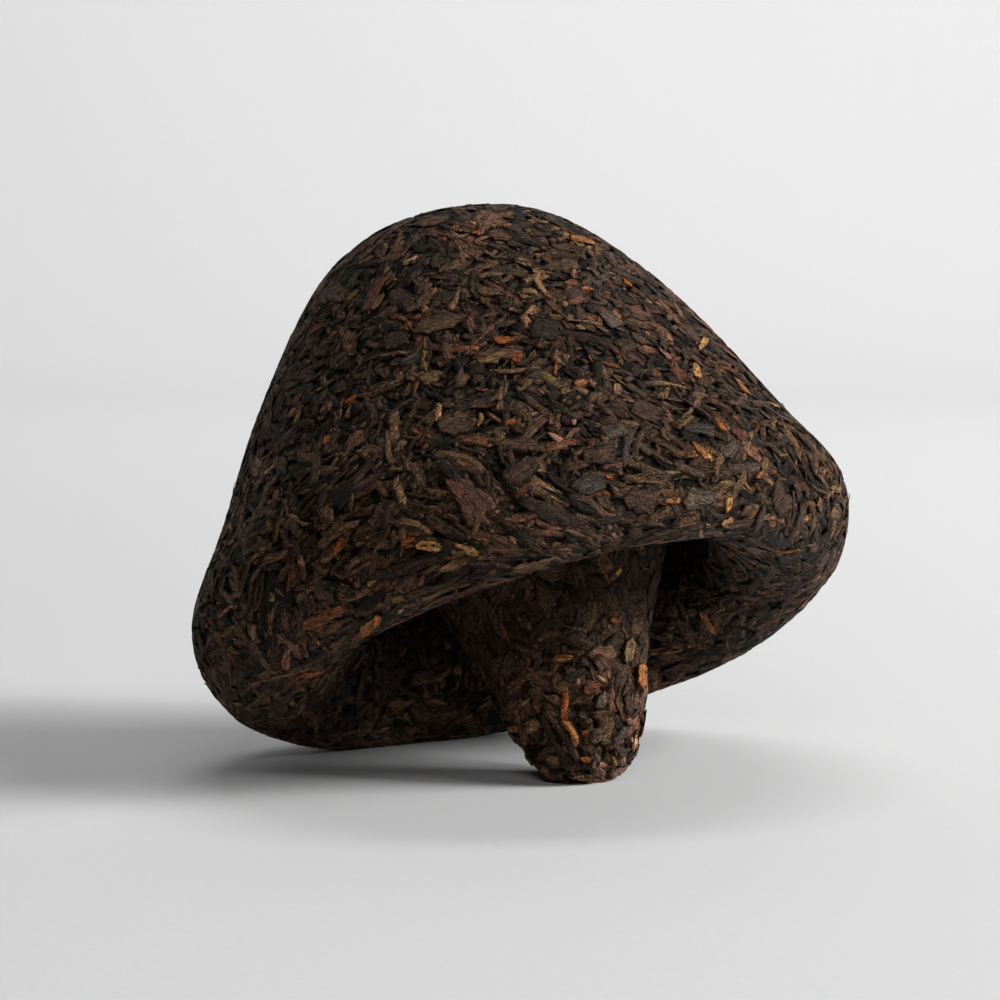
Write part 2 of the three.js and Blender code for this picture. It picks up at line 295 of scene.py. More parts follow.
# ------------------------------------------------------------------ materials
class Graph:
    """A small helper that adds and joins shader nodes."""

    def __init__(self, name):
        self.material = bpy.data.materials.new(name)
        self.material.use_nodes = True
        self.tree = self.material.node_tree
        self.tree.nodes.clear()
        out = self.tree.nodes.new("ShaderNodeOutputMaterial")
        self.shader = self.tree.nodes.new("ShaderNodeBsdfPrincipled")
        self.tree.links.new(self.shader.outputs["BSDF"], out.inputs["Surface"])

    def feed(self, socket, value):
        if isinstance(value, bpy.types.NodeSocket):
            self.tree.links.new(value, socket)
        else:
            socket.default_value = value

    def attribute(self, name, output):
        n = self.tree.nodes.new("ShaderNodeAttribute")
        n.attribute_name = name
        return n.outputs[output]

    def scaled(self, vector, factors):
        n = self.tree.nodes.new("ShaderNodeVectorMath")
        n.operation = "MULTIPLY"
        self.feed(n.inputs[0], vector)
        n.inputs[1].default_value = factors
        return n.outputs["Vector"]

    def noise(self, vector, scale=1.0, detail=2.0, roughness=0.5, distortion=0.0):
        n = self.tree.nodes.new("ShaderNodeTexNoise")
        self.feed(n.inputs["Vector"], vector)
        n.inputs["Scale"].default_value = scale
        n.inputs["Detail"].default_value = detail
        n.inputs["Roughness"].default_value = roughness
        n.inputs["Distortion"].default_value = distortion
        return n.outputs["Fac"]

    def voronoi(self, vector, scale, feature="F1", output="Distance"):
        n = self.tree.nodes.new("ShaderNodeTexVoronoi")
        n.feature = feature
        self.feed(n.inputs["Vector"], vector)
        n.inputs["Scale"].default_value = scale
        return n.outputs[output]

    def math(self, operation, a, b=0.0, c=0.0):
        n = self.tree.nodes.new("ShaderNodeMath")
        n.operation = operation
        for socket, value in zip(n.inputs, (a, b, c)):
            self.feed(socket, value)
        return n.outputs["Value"]

    def ramp(self, value, a, b, c, d, smooth=False):
        n = self.tree.nodes.new("ShaderNodeMapRange")
        if smooth:
            n.interpolation_type = "SMOOTHSTEP"
        self.feed(n.inputs["Value"], value)
        for key, v in (("From Min", a), ("From Max", b), ("To Min", c), ("To Max", d)):
            n.inputs[key].default_value = v
        return n.outputs["Result"]

    def split(self, vector):
        n = self.tree.nodes.new("ShaderNodeSeparateXYZ")
        self.feed(n.inputs["Vector"], vector)
        return n.outputs

    def scale_colour(self, colour, factor):
        n = self.tree.nodes.new("ShaderNodeVectorMath")
        n.operation = "SCALE"
        self.feed(n.inputs[0], colour)
        self.feed(n.inputs["Scale"], factor)
        return n.outputs["Vector"]

    def mix(self, factor, a, b):
        n = self.tree.nodes.new("ShaderNodeMix")
        n.data_type = "RGBA"
        self.feed(n.inputs["Factor"], factor)
        self.feed(n.inputs["A"], a)
        self.feed(n.inputs["B"], b)
        return n.outputs["Result"]

    def bump(self, height, distance, strength=1.0):
        n = self.tree.nodes.new("ShaderNodeBump")
        self.feed(n.inputs["Height"], height)
        n.inputs["Distance"].default_value = distance
        n.inputs["Strength"].default_value = strength
        self.tree.links.new(n.outputs["Normal"], self.shader.inputs["Normal"])


def leaf_material():
    g = Graph("pressed_leaf")
    tint = g.attribute("tint", "Color")
    grain = g.attribute("grain", "Vector")  # mm along the leaf, mm across it, and a number of its own
    rim = g.split(g.attribute("rim", "Vector"))  # how far to the end, how far to the edge, how far underneath, which set the leaf's painted shade

    streak = g.noise(g.scaled(grain, (0.42, 2.5, 7.31)), detail=2.0, roughness=0.6, distortion=0.4)
    fibre = g.noise(g.scaled(grain, (1.3, 6.5, 3.7)), detail=1.0)
    fold = g.noise(g.scaled(grain, (0.5, 1.35, 5.13)), detail=2.0, roughness=0.55, distortion=0.6)
    crease = g.ramp(g.math("ABSOLUTE", g.math("SUBTRACT", fold, 0.5)), 0.0, 0.035, 0.0, 1.0, smooth=True)
    split = g.noise(g.scaled(grain, (1.1, 2.3, 6.37)), detail=1.0, distortion=0.8)
    cleft = g.ramp(g.math("ABSOLUTE", g.math("SUBTRACT", split, 0.47)), 0.0, 0.03, 0.0, 1.0, smooth=True)
    blotch = g.noise(g.scaled(grain, (0.8, 1.1, 3.17)), detail=2.0)

    grit = g.noise(g.scaled(grain, (3.1, 4.3, 2.39)), detail=3.0, roughness=0.7)
    light = g.math("MULTIPLY", g.ramp(streak, 0.3, 0.72, 0.62, 1.5), g.ramp(blotch, 0.3, 0.7, 0.72, 1.28))
    light = g.math("MULTIPLY", light, g.ramp(fibre, 0.3, 0.7, 0.85, 1.15))
    light = g.math("MULTIPLY", light, g.ramp(grit, 0.3, 0.7, 0.55, 1.45))
    # Painted glints: the highest specks of grit are lightened up to twice as bright.
    light = g.math("MULTIPLY", light, g.ramp(grit, 0.6, 0.72, 1.0, 2.1, smooth=True))
    # Painted shade: the fold and split lines, which the bump sinks as grooves, are darkened as shade in those grooves.
    light = g.math("MULTIPLY", light, g.ramp(crease, 0.0, 1.0, 0.2, 1.0))
    light = g.math("MULTIPLY", light, g.ramp(cleft, 0.0, 1.0, 0.45, 1.0))
    # Painted shade: each leaf is darkened towards its ends and edges, drawn as dark outlines where its neighbours would
    # shade it.
    light = g.math("MULTIPLY", light, g.ramp(g.math("MAXIMUM", rim["X"], rim["Y"]), 0.8, 1.0, 1.0, 0.3, smooth=True))
    # Painted shade: what lies below its neighbours, and each leaf's underside, is darkened nearly to black.
    light = g.math("MULTIPLY", light, g.ramp(rim["Z"], 0.0, 1.0, 1.0, 0.04))
    warm = g.mix(g.ramp(blotch, 0.42, 0.7, 0.0, 0.6), tint, g.scaled(tint, (1.2, 1.0, 0.84)))
    g.feed(g.shader.inputs["Base Color"], g.scale_colour(warm, light))
    g.feed(g.shader.inputs["Roughness"], g.ramp(streak, 0.3, 0.7, 0.72, 0.46))
    g.shader.inputs["Specular IOR Level"].default_value = 0.13
    g.shader.inputs["Specular Tint"].default_value = (1.0, 0.86, 0.72, 1.0)
    height = g.math("MULTIPLY_ADD", crease, 0.35, streak)
    height = g.math("MULTIPLY_ADD", fibre, 0.2, height)
    height = g.math("MULTIPLY_ADD", grit, 0.55, height)
    height = g.math("MULTIPLY_ADD", cleft, 0.2, height)
    g.bump(height, 0.0009)
    return g.material


def core_material():
    g = Graph("packed_leaf")
    n = g.tree.nodes.new("ShaderNodeTexCoord")
    place = n.outputs["Object"]
    cells = g.voronoi(place, 820.0, output="Color")
    edges = g.voronoi(place, 820.0, feature="DISTANCE_TO_EDGE")
    grit = g.noise(place, 2600.0, detail=2.0)
    each = g.split(cells)
    light = g.math("MULTIPLY", g.ramp(each["X"], 0.0, 1.0, 0.2, 0.8), g.ramp(grit, 0.3, 0.7, 0.6, 1.4))
    # Painted shade: the cracks between the packed leaves are darkened.
    light = g.math("MULTIPLY", light, g.ramp(edges, 0.0, 0.14, 0.15, 1.0, smooth=True))
    base = g.mix(each["Y"], (*BLACK, 1), (*BROWN, 1))
    g.feed(g.shader.inputs["Base Color"], g.scale_colour(base, light))
    g.shader.inputs["Roughness"].default_value = 0.72
    g.shader.inputs["Specular IOR Level"].default_value = 0.3
    height = g.math("MULTIPLY_ADD", grit, 0.4, g.ramp(edges, 0.0, 0.2, 0.0, 1.0, smooth=True))
    g.bump(height, 0.0004)
    return g.material


LEAF = leaf_material()
CORE = core_material()


# ------------------------------------------------------------------ meshes
def make_mesh(name, points, loops, starts, smooth, material, attributes=(), uv=None):
    """points in mm, loops the corner's vertices, starts where each face's corners begin."""
    mesh = bpy.data.meshes.new(name)
    mesh.vertices.add(len(points))
    mesh.vertices.foreach_set("co", (points * MM).astype(np.float32).ravel())
    mesh.loops.add(len(loops))
    mesh.loops.foreach_set("vertex_index", loops.astype(np.int32))
    mesh.polygons.add(len(starts))
    mesh.polygons.foreach_set("loop_start", starts.astype(np.int32))
    mesh.update(calc_edges=True)
    mesh.polygons.foreach_set("use_smooth", smooth.astype(bool))
    for key, kind, values in attributes:
        a = mesh.attributes.new(key, kind, "POINT")
        a.data.foreach_set("color" if kind == "FLOAT_COLOR" else "vector", values.astype(np.float32).ravel())
    if uv is not None:
        layer = mesh.uv_layers.new(name="OFBake")
        layer.data.foreach_set("uv", uv.astype(np.float32).ravel())
    mesh.materials.append(material)
    mesh.validate()
    mesh.update()
    o = bpy.data.objects.new(name, mesh)
    bpy.context.scene.collection.objects.link(o)
    return o


def patch_faces(nl, nw):
    """Faces of one closed leaf: its top, and walls that run in to a keel below its middle. Returns corner lists, whether each is the top, and each corner's place in the leaf's square of the bake map."""
    def v(i, j):
        return i * (nw + 1) + j

    def keel(i):
        return (nl + 1) * (nw + 1) + i - 1

    def top_uv(i, j):
        return (0.05 + 0.9 * i / nl, 0.24 + 0.72 * j / nw)

    faces, top, uvs = [], [], []
    for i in range(nl):
        for j in range(nw):
            q = [(i, j), (i + 1, j), (i + 1, j + 1), (i, j + 1)]
            faces.append([v(*c) for c in q])
            uvs.append([top_uv(*c) for c in q])
            top.append(True)
    for side, band in ((0, 0.02), (nw, 0.13)):
        for i in range(nl):
            a, b = (i + 1, i) if side == 0 else (i, i + 1)
            face, uv = [v(a, side), v(b, side)], [(0.05 + 0.9 * a / nl, band + 0.08), (0.05 + 0.9 * b / nl, band + 0.08)]
            for k in (b, a):
                if 1 <= k <= nl - 1:
                    face.append(keel(k))
                    uv.append((0.05 + 0.9 * k / nl, band))
            faces.append(face)
            uvs.append(uv)
            top.append(False)
    for j in range(nw):
        faces.append([v(0, j), v(0, j + 1), keel(1)])
        uvs.append([(0.035, 0.24 + 0.72 * j / nw), (0.035, 0.24 + 0.72 * (j + 1) / nw), (0.01, 0.24 + 0.72 * (j + 0.5) / nw)])
        top.append(False)
        faces.append([v(nl, j + 1), v(nl, j), keel(nl - 1)])
        uvs.append([(0.965, 0.24 + 0.72 * (j + 1) / nw), (0.965, 0.24 + 0.72 * j / nw), (0.99, 0.24 + 0.72 * (j + 0.5) / nw)])
        top.append(False)
    return faces, top, uvs


def smoothstep(a, b, x):
    t = np.clip((x - a) / (b - a), 0, 1)
    return t * t * (3 - 2 * t)


def scatter(rng, n, weight, steps=5):
    """n places on the cake, by area times weight of the vertices, pushed apart until they are evenly spread."""
    w = areas * weight[tris].mean(1)
    k = rng.choice(len(tris), n, p=w / w.sum())
    a, b = rng.random(n), rng.random(n)
    flip = a + b > 1
    a[flip], b[flip] = 1 - a[flip], 1 - b[flip]
    t = tris[k]
    p = verts[t[:, 0]] * (1 - a - b)[:, None] + verts[t[:, 1]] * a[:, None] + verts[t[:, 2]] * b[:, None]
    reach = math.sqrt(areas.sum() / n) * 1.25
    for _ in range(steps):
        near = KDTree(n)
        for q, point in enumerate(p.tolist()):
            near.insert(point, q)
        near.balance()
        ids = np.array([[m[1] for m in near.find_n(point, 7)][1:] for point in p.tolist()])
        away = p[:, None] - p[ids]
        d = np.linalg.norm(away, axis=2, keepdims=True) + 1e-6
        push = (away / d * np.clip(reach - d, 0, None)).sum(1) * 0.3
        p = settle(p + push)[0]
    return settle(p, full=True)


def flow(rng, p, brim, tip, loose):
    """Angle from the way round the cake at which a leaf lies. Leaves lie in drifts over the cap, along the brim, and down the stalk."""
    drift = noise(p, 9.0, 11) * 2.6 + noise(p, 21.0, 12) * 1.6
    on_brim = smoothstep(0.62, 0.92, brim)
    on_stalk = smoothstep(0.03, 0.25, tip)
    a = drift * (1 - 0.65 * on_brim) + rng.normal(0, loose, len(p)) * (1 - 0.3 * on_brim)
    a = a * (1 - on_stalk) + on_stalk * (math.pi / 2 + 0.5 * noise(p, 7.0, 13) + rng.normal(0, 0.2 + loose, len(p)))
    return a


def lay_leaves(name, seed, n, nl, nw, length, width, shape, level, loose=0.45, shares=SHARES, tints=None, weight=None, places=None, steps=5):
    """n leaves pressed onto the cake, each nl x nw cells. shape holds how they are torn, arched, folded and tilted."""
    rng = np.random.default_rng(seed)
    if places is None:
        p, nrm, rw, brim, tip, inside = scatter(rng, n, everywhere if weight is None else weight, steps)
        angle = flow(rng, p, brim, tip, loose)
        L, W = rng.uniform(*length, n), rng.uniform(*width, n)
        L = L * (1 - 0.4 * smoothstep(0.5, 1.0, tip))
    else:
        p, nrm, rw, angle, L, W, lift = places
        n = len(p)
        brim = tip = inside = np.zeros(n)
    # Stalk, brim and crown are pressed smoother than the flanks; the stalk's end is broken, and its leaves are
    # lightened as painted light on its shaded, downturned end.
    end = smoothstep(0.4, 0.75, tip)
    crown = (1 - smoothstep(0.1, 0.45, brim)) * (tip <= 0) * (inside <= 0) * (0.0 if places is not None else 1.0)
    flank = smoothstep(0.3, 0.5, brim) * (1 - smoothstep(0.8, 0.93, brim))
    calm = (0.82 * smoothstep(0.0, 0.12, tip) * (1 - end) + 0.48 * smoothstep(0.84, 1.0, brim) + 0.3 * crown - 0.3 * flank)[:, None, None]
    rw = unit(rw - nrm * np.einsum("ij,ij->i", rw, nrm)[:, None])
    up = np.cross(nrm, rw)
    u = rw * np.cos(angle)[:, None] + up * np.sin(angle)[:, None]
    v = np.cross(nrm, u)

    A = np.linspace(-1, 1, nl + 1)[None, :, None]
    B = np.linspace(-1, 1, nw + 1)[None, None, :]
    left = (1 - B) / 2

    def per(lo, hi):
        return rng.uniform(lo, hi, (n, 1, 1))

    # Outline: some leaves taper to both ends, the others are torn, with straight breaks across their corners.
    f = np.clip((1 + A) * per(1.0, 4.0), 0, 1) ** 0.75 * np.clip((1 - A) * per(1.0, 4.0), 0, 1) ** 0.75
    tapered = np.maximum(f, 0.12) * np.ones((1, 1, 2))

    def corner(sign):
        start = rng.uniform(*shape["end"], (n, 1, 2))
        slope = np.exp(rng.uniform(math.log(0.25), math.log(3.0), (n, 1, 2)))
        return start + slope * (1 + sign * A)

    torn = np.minimum(np.minimum(corner(1), corner(-1)), rng.uniform(0.75, 1.05, (n, 1, 2)))
    torn = np.maximum(torn, 0.04)
    sides = np.where(rng.random((n, 1, 1)) < shape["lens"], tapered, torn) * (1 + rng.normal(0, shape["ragged"], (n, nl + 1, 2)))
    half = W[:, None, None] / 2 * (sides[:, :, :1] * left + sides[:, :, 1:] * (1 - left))
    y = B * half
    jog = rng.uniform(-0.32, 0.32, (n, nl + 1, 2)) * 2 / nl
    jog[:, 0] *= 0.3
    jog[:, -1] *= 0.3
    x = (A + jog[:, :, :1] * left + jog[:, :, 1:] * (1 - left)) * L[:, None, None] / 2
    # Torn ends are slanted and ragged.
    x = x + per(-1, 1) * shape["slant"] * y * np.abs(A) ** 3
    x[:, 0] += rng.normal(0, 0.07, (n, nw + 1)) * W[:, None]
    x[:, -1] += rng.normal(0, 0.07, (n, nw + 1)) * W[:, None]
    bend = per(-shape["bend"], shape["bend"])
    swing = per(-shape["bend"], shape["bend"])
    y = y + L[:, None, None] * (bend * (A**2 - 0.33) + swing * 0.3 * np.sin(math.pi * A))
    flat = p[:, None, None] + u[:, None, None] * x[..., None] + v[:, None, None] * y[..., None]
    hit, hn = settle(flat)

    # Height over the smooth cake.
    h = rng.uniform(*level, n)[:, None, None] + per(*shape["arch"]) * (1 - B**2)
    waves, at = per(0.8, max(1.0, nw / 2.3)), per(0, 2 * math.pi)
    h = h + per(*shape["fold"]) * np.cos(math.pi * waves * B + at + 0.5 * np.sin(2.2 * A + at))
    h = h + rng.normal(0, shape["crumple"], (n, nl + 1, nw + 1))
    h = h + per(-1, 1) * shape["roll"] * B * half + per(-1, 1) * shape["pitch"] * A * L[:, None, None] / 2
    h = h - per(*shape["dive"]) * smoothstep(0.6, 1.0, np.abs(A)) - shape["curl"] * np.abs(B) ** 3
    h = h * (1 - calm)
    # The mould has flattened what stood up.
    pressed = shape.get("pressed", PRESSED)
    if places is not None:
        h = h + lift[:, None, None]
        pressed = pressed + lift[:, None, None]
    h = np.where(h > pressed, pressed + (h - pressed) * 0.25, h)
    top = hit + hn * h[..., None]

    mid = nw // 2
    if nw % 2 == 0:
        kp, kn = hit[:, 1:-1, mid], hn[:, 1:-1, mid]
    else:
        kp, kn = (hit[:, 1:-1, mid] + hit[:, 1:-1, mid + 1]) / 2, unit(hn[:, 1:-1, mid] + hn[:, 1:-1, mid + 1])
    sunk = h[:, 1:-1].min(2) - shape["thick"] if "thick" in shape else np.minimum(h[:, 1:-1].min(2) - 0.3, -0.42)
    keel = kp + kn * sunk[..., None]
    count = (nl + 1) * (nw + 1) + nl - 1
    pts = np.concatenate([top.reshape(n, -1, 3), keel], 1)
    pts[..., 2] = np.maximum(pts[..., 2], 0.03)  # nothing under the table

    if tints is None:
        even = 0.58 * (smoothstep(0.0, 0.12, tip) * (1 - end))[:, None]
        tints = colours(rng, n, shares) * (1 - even) + 0.9 * DARK * even
        # Painted light and shade: leaves towards the stalk's end are lightened, and leaves inside the hollow are
        # darkened as painted shade.
        tints = tints * (np.exp(0.33 * noise(p, 7.0, 31)) * (1 + 0.6 * end + 0.25 * smoothstep(0.7, 0.93, tip)) * (1 - 0.68 * inside))[:, None]
    other = colours(rng, n, shares)
    if places is None:
        share = np.where(rng.random(n) < 0.35, rng.uniform(0.2, 0.8, n), 0.0)[:, None, None] * smoothstep(-0.6, 0.8, A) * np.ones((1, 1, nw + 1))
    else:
        share = 0.6 * smoothstep(0.15, 0.85, noise(hit, 1.2, 41))
    tint = np.ones((n, count, 4))
    top_tint = tints[:, None, None] * (1 - share[..., None]) + other[:, None, None] * share[..., None]
    tint[:, : -(nl - 1), :3] = top_tint.reshape(n, -1, 3)
    tint[:, -(nl - 1):, :3] = tints[:, None]
    grain = np.zeros((n, count, 3))
    grain[:, : -(nl - 1), 0] = x.reshape(n, -1)
    grain[:, : -(nl - 1), 1] = (B * half).reshape(n, -1)
    grain[:, -(nl - 1):, 0] = x[:, 1:-1, mid]
    grain[..., 2] = rng.uniform(0, 900, n)[:, None]
    rim = np.zeros((n, count, 3))
    # Less painted edge shade on the stalk, more again at its broken end.
    soft = (1 - 0.22 * smoothstep(0.0, 0.12, tip) * (1 - 0.7 * end))[:, None]
    rim[:, : -(nl - 1), 0] = np.broadcast_to(np.abs(A), (n, nl + 1, nw + 1)).reshape(n, -1) * soft
    rim[:, : -(nl - 1), 1] = np.broadcast_to(np.abs(B), (n, nl + 1, nw + 1)).reshape(n, -1) * soft
    rim[:, : -(nl - 1), 2] = np.clip((0.0 - h) / 0.3, 0, 0.95).reshape(n, -1)  # painted shade: what lies deep is darkened
    rim[:, -(nl - 1):, 2] = 1.0

    faces, is_top, uvs = patch_faces(nl, nw)
    corner = np.concatenate([np.array(fc) for fc in faces])
    sizes = np.array([len(fc) for fc in faces])
    loops = (corner[None] + (np.arange(n) * count)[:, None]).ravel()
    starts = np.concatenate([[0], np.cumsum(np.tile(sizes, n))[:-1]])
    smooth = np.tile(np.array(is_top), n)
    flat_uv = np.array([c for fc in uvs for c in fc])
    aspect = float(np.mean(L) / np.mean(W)) * 0.8
    columns = max(1, int(round(math.sqrt(n / aspect))))
    rows = int(math.ceil(n / columns))
    cell = np.stack([np.arange(n) % columns, np.arange(n) // columns], -1)
    uv = (cell[:, None, :] + flat_uv[None] * 0.96 + 0.02) / np.array([columns, rows])
    o = make_mesh(
        name, pts.reshape(-1, 3), loops, starts, smooth, LEAF,
        [("tint", "FLOAT_COLOR", tint), ("grain", "FLOAT_VECTOR", grain), ("rim", "FLOAT_VECTOR", rim)], uv.reshape(-1, 2),
    )
    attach(o, "root")
    pieces.append(o)
    return o


# ------------------------------------------------------------------ the core
CORE_AROUND, CORE_ALONG = 240, 200
ct, cx = np.meshgrid(np.arange(CORE_AROUND) * 2 * math.pi / CORE_AROUND, np.linspace(0, knot_t[-1], CORE_ALONG), indexing="xy")
core = surface(ct, cx)[0] + shift
core[0] = core[0].mean(0)
core[-1] = core[-1].mean(0)
hit, hn = settle(core[1:-1].reshape(-1, 3))
relief = -0.5 + 0.16 * noise(hit, 1.9, 21) + 0.12 * noise(hit, 0.9, 22)
inner = hit + hn * relief[:, None]
poles = np.stack([core[0, 0] + normals[0] * -0.5, core[-1, 0] + normals[-1] * -0.5])
core_points = np.concatenate([inner, poles])
core_points[:, 2] = np.maximum(core_points[:, 2], 0.06)
rows_, m_ = CORE_ALONG - 2, CORE_AROUND
i, j = np.meshgrid(np.arange(rows_ - 1), np.arange(m_), indexing="ij")
quads = np.stack([i * m_ + j, (i + 1) * m_ + j, (i + 1) * m_ + (j + 1) % m_, i * m_ + (j + 1) % m_], -1).reshape(-1, 4)
j = np.arange(m_)
first = np.stack([j, (j + 1) % m_, np.full(m_, rows_ * m_)], -1)
last = np.stack([(rows_ - 1) * m_ + (j + 1) % m_, (rows_ - 1) * m_ + j, np.full(m_, rows_ * m_ + 1)], -1)
if volume < 0:
    quads, first, last = quads[:, ::-1], first[:, ::-1], last[:, ::-1]
loops = np.concatenate([quads.ravel(), first.ravel(), last.ravel()])
starts = np.concatenate([[0], np.cumsum([4] * len(quads) + [3] * (2 * m_))[:-1]])
core_object = make_mesh("tea_core", core_points, loops, starts, np.ones(len(starts)), CORE)
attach(core_object, "root")
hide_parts("pressed_tea")

# ------------------------------------------------------------------ the leaves
PRESSED = 0.13
everywhere = np.where(inness > 0.05, 0.75, 1.0)
pieces = []

FLAKE = dict(lens=0.03, end=(-0.1, 1.0), ragged=0.06, slant=0.5, bend=0.04, arch=(-0.05, 0.08), fold=(0.04, 0.19), crumple=0.04, roll=0.19, pitch=0.1, dive=(0.0, 0.15), curl=0.02)
BROAD = dict(lens=0.25, end=(-0.1, 0.7), ragged=0.06, slant=0.5, bend=0.07, arch=(-0.02, 0.1), fold=(0.07, 0.24), crumple=0.045, roll=0.11, pitch=0.045, dive=(0.0, 0.25), curl=0.06)
STRIP = dict(lens=0.3, end=(0.2, 0.9), ragged=0.08, slant=0.5, bend=0.11, arch=(0.0, 0.16), fold=(0.03, 0.15), crumple=0.03, roll=0.2, pitch=0.03, dive=(0.0, 0.25), curl=0.04)
ROLLED = dict(lens=0.15, end=(0.5, 1.0), ragged=0.08, slant=0.3, bend=0.17, arch=(0.1, 0.28), fold=(0.02, 0.08), crumple=0.025, roll=0.1, pitch=0.03, dive=(0.0, 0.3), curl=0.08)
CHIP = dict(lens=0.04, end=(-0.3, 1.0), ragged=0.05, slant=0.7, bend=0.03, arch=(-0.02, 0.06), fold=(0.0, 0.07), crumple=0.035, roll=0.24, pitch=0.14, dive=(0.0, 0.12), curl=0.0)
BIT = dict(lens=0.0, end=(0.0, 1.0), ragged=0.05, slant=0.8, bend=0.0, arch=(0.0, 0.06), fold=(0.0, 0.04), crumple=0.04, roll=0.32, pitch=0.22, dive=(0.0, 0.08), curl=0.0)

# Long leaves and rolled ones gather along the brim, where the tea was folded over; the crown is flakes.
on_brim = smoothstep(0.45, 0.85, brimness) * np.where(inness > 0.05, 0.5, 1.0)
on_stalk = smoothstep(0.02, 0.15, tipness)
along_brim = everywhere * (0.3 + 1.55 * on_brim) * (1 - 0.6 * on_stalk)
off_brim = everywhere * (1.0 - 0.5 * on_brim)
fine = off_brim * (1 + 1.6 * on_stalk * (1 - 0.75 * smoothstep(0.4, 0.7, tipness)))
lay_leaves("leaf_flakes", 101, 3000, 5, 4, (3.0, 5.8), (2.4, 4.2), FLAKE, (-0.3, 0.02), loose=0.8)
lay_leaves("broad_leaves", 102, 650, 9, 5, (6, 10), (3.0, 4.8), BROAD, (-0.22, 0.04), loose=0.6, weight=off_brim)
lay_leaves("long_leaves", 103, 1350, 9, 3, (4.5, 9), (1.1, 2.1), STRIP, (-0.18, 0.1), weight=along_brim)
lay_leaves("rolled_leaves", 104, 1250, 8, 4, (3, 7.5), (0.8, 1.35), ROLLED, (-0.2, 0.04), weight=along_brim)
lay_leaves("leaf_chips", 105, 3500, 4, 3, (2.2, 4.2), (1.4, 2.7), CHIP, (-0.24, 0.1), loose=0.9, weight=fine)
lay_leaves("leaf_bits", 106, 4300, 3, 2, (1.1, 2.4), (0.7, 1.6), BIT, (-0.22, 0.12), loose=1.3, weight=fine)
rng = np.random.default_rng(107)
n = 220
amber = np.where(rng.random((n, 1)) < 0.6, AMBER, GOLD) * np.exp(rng.normal(-0.3, 0.4, (n, 1)))
lay_leaves("amber_flecks", 108, n, 5, 2, (1.0, 2.8), (0.5, 1.1), CHIP, (-0.08, 0.1), loose=0.9, tints=amber)

# The stalk's end is broken and crumbly.
CRUMB = dict(lens=0.0, end=(-0.3, 0.9), ragged=0.06, slant=0.9, bend=0.0, arch=(0.0, 0.12), fold=(0.0, 0.14), crumple=0.08, roll=0.5, pitch=0.36, dive=(0.0, 0.1), curl=0.0, pressed=0.62)
broken = smoothstep(0.4, 0.7, tipness)
lay_leaves("tip_crumbs", 109, 400, 5, 4, (3.0, 5.8), (2.0, 3.7), CRUMB, (0.0, 0.55), loose=1.4, weight=broken, shares=(0.36, 0.36, 0.13, 0.07, 0.015, 0.035, 0.03, 0.0))

# Loose hairs stand off the edges of the hollow and the stalk's end.
HAIR = dict(lens=1.0, end=(0.5, 1.0), ragged=0.0, slant=0.0, bend=0.25, arch=(0.0, 0.3), fold=(0.0, 0.0), crumple=0.03, roll=0.0, pitch=0.25, dive=(0.0, 0.1), curl=0.0, pressed=0.5, thick=0.07)
lips = smoothstep(0.8, 1.0, brimness) * np.where(inness > 0.4, 0.3, 1.0) + broken * 2.0 + 0.12
rng = np.random.default_rng(110)
lay_leaves("hairs", 111, 420, 5, 1, (1.2, 3.6), (0.07, 0.13), HAIR, (0.1, 0.2), loose=1.6, weight=lips, tints=TAN * np.exp(rng.normal(0.1, 0.35, (420, 1))))


# ------------------------------------------------------------------ singular leaves, as they lie in the photograph
def on_cake(px, py):
    ray = cam_forward + cam_right * (px - 500) / CAM_PIXELS - cam_up * (py - 500) / CAM_PIXELS
    at, _, _, _ = tree.ray_cast(Vector(cam_place), Vector(unit(ray)))
    return None if at is None else np.array(at)


TONES = dict(
    wine=srgb(84, 57, 48),
    gold=srgb(156, 114, 70), amber=srgb(146, 94, 52), orange=srgb(140, 78, 38), rust=srgb(96, 58, 40), red=srgb(94, 58, 45),
    warm=srgb(80, 60, 44), tan=srgb(102, 78, 56), beige=srgb(116, 94, 68), olive=srgb(112, 89, 57), plum=srgb(54, 40, 34),
    brown=srgb(64, 48, 39), dark=srgb(40, 31, 26), grey=srgb(76, 65, 55), slate=srgb(53, 48, 45), ink=srgb(26, 24, 23),
)
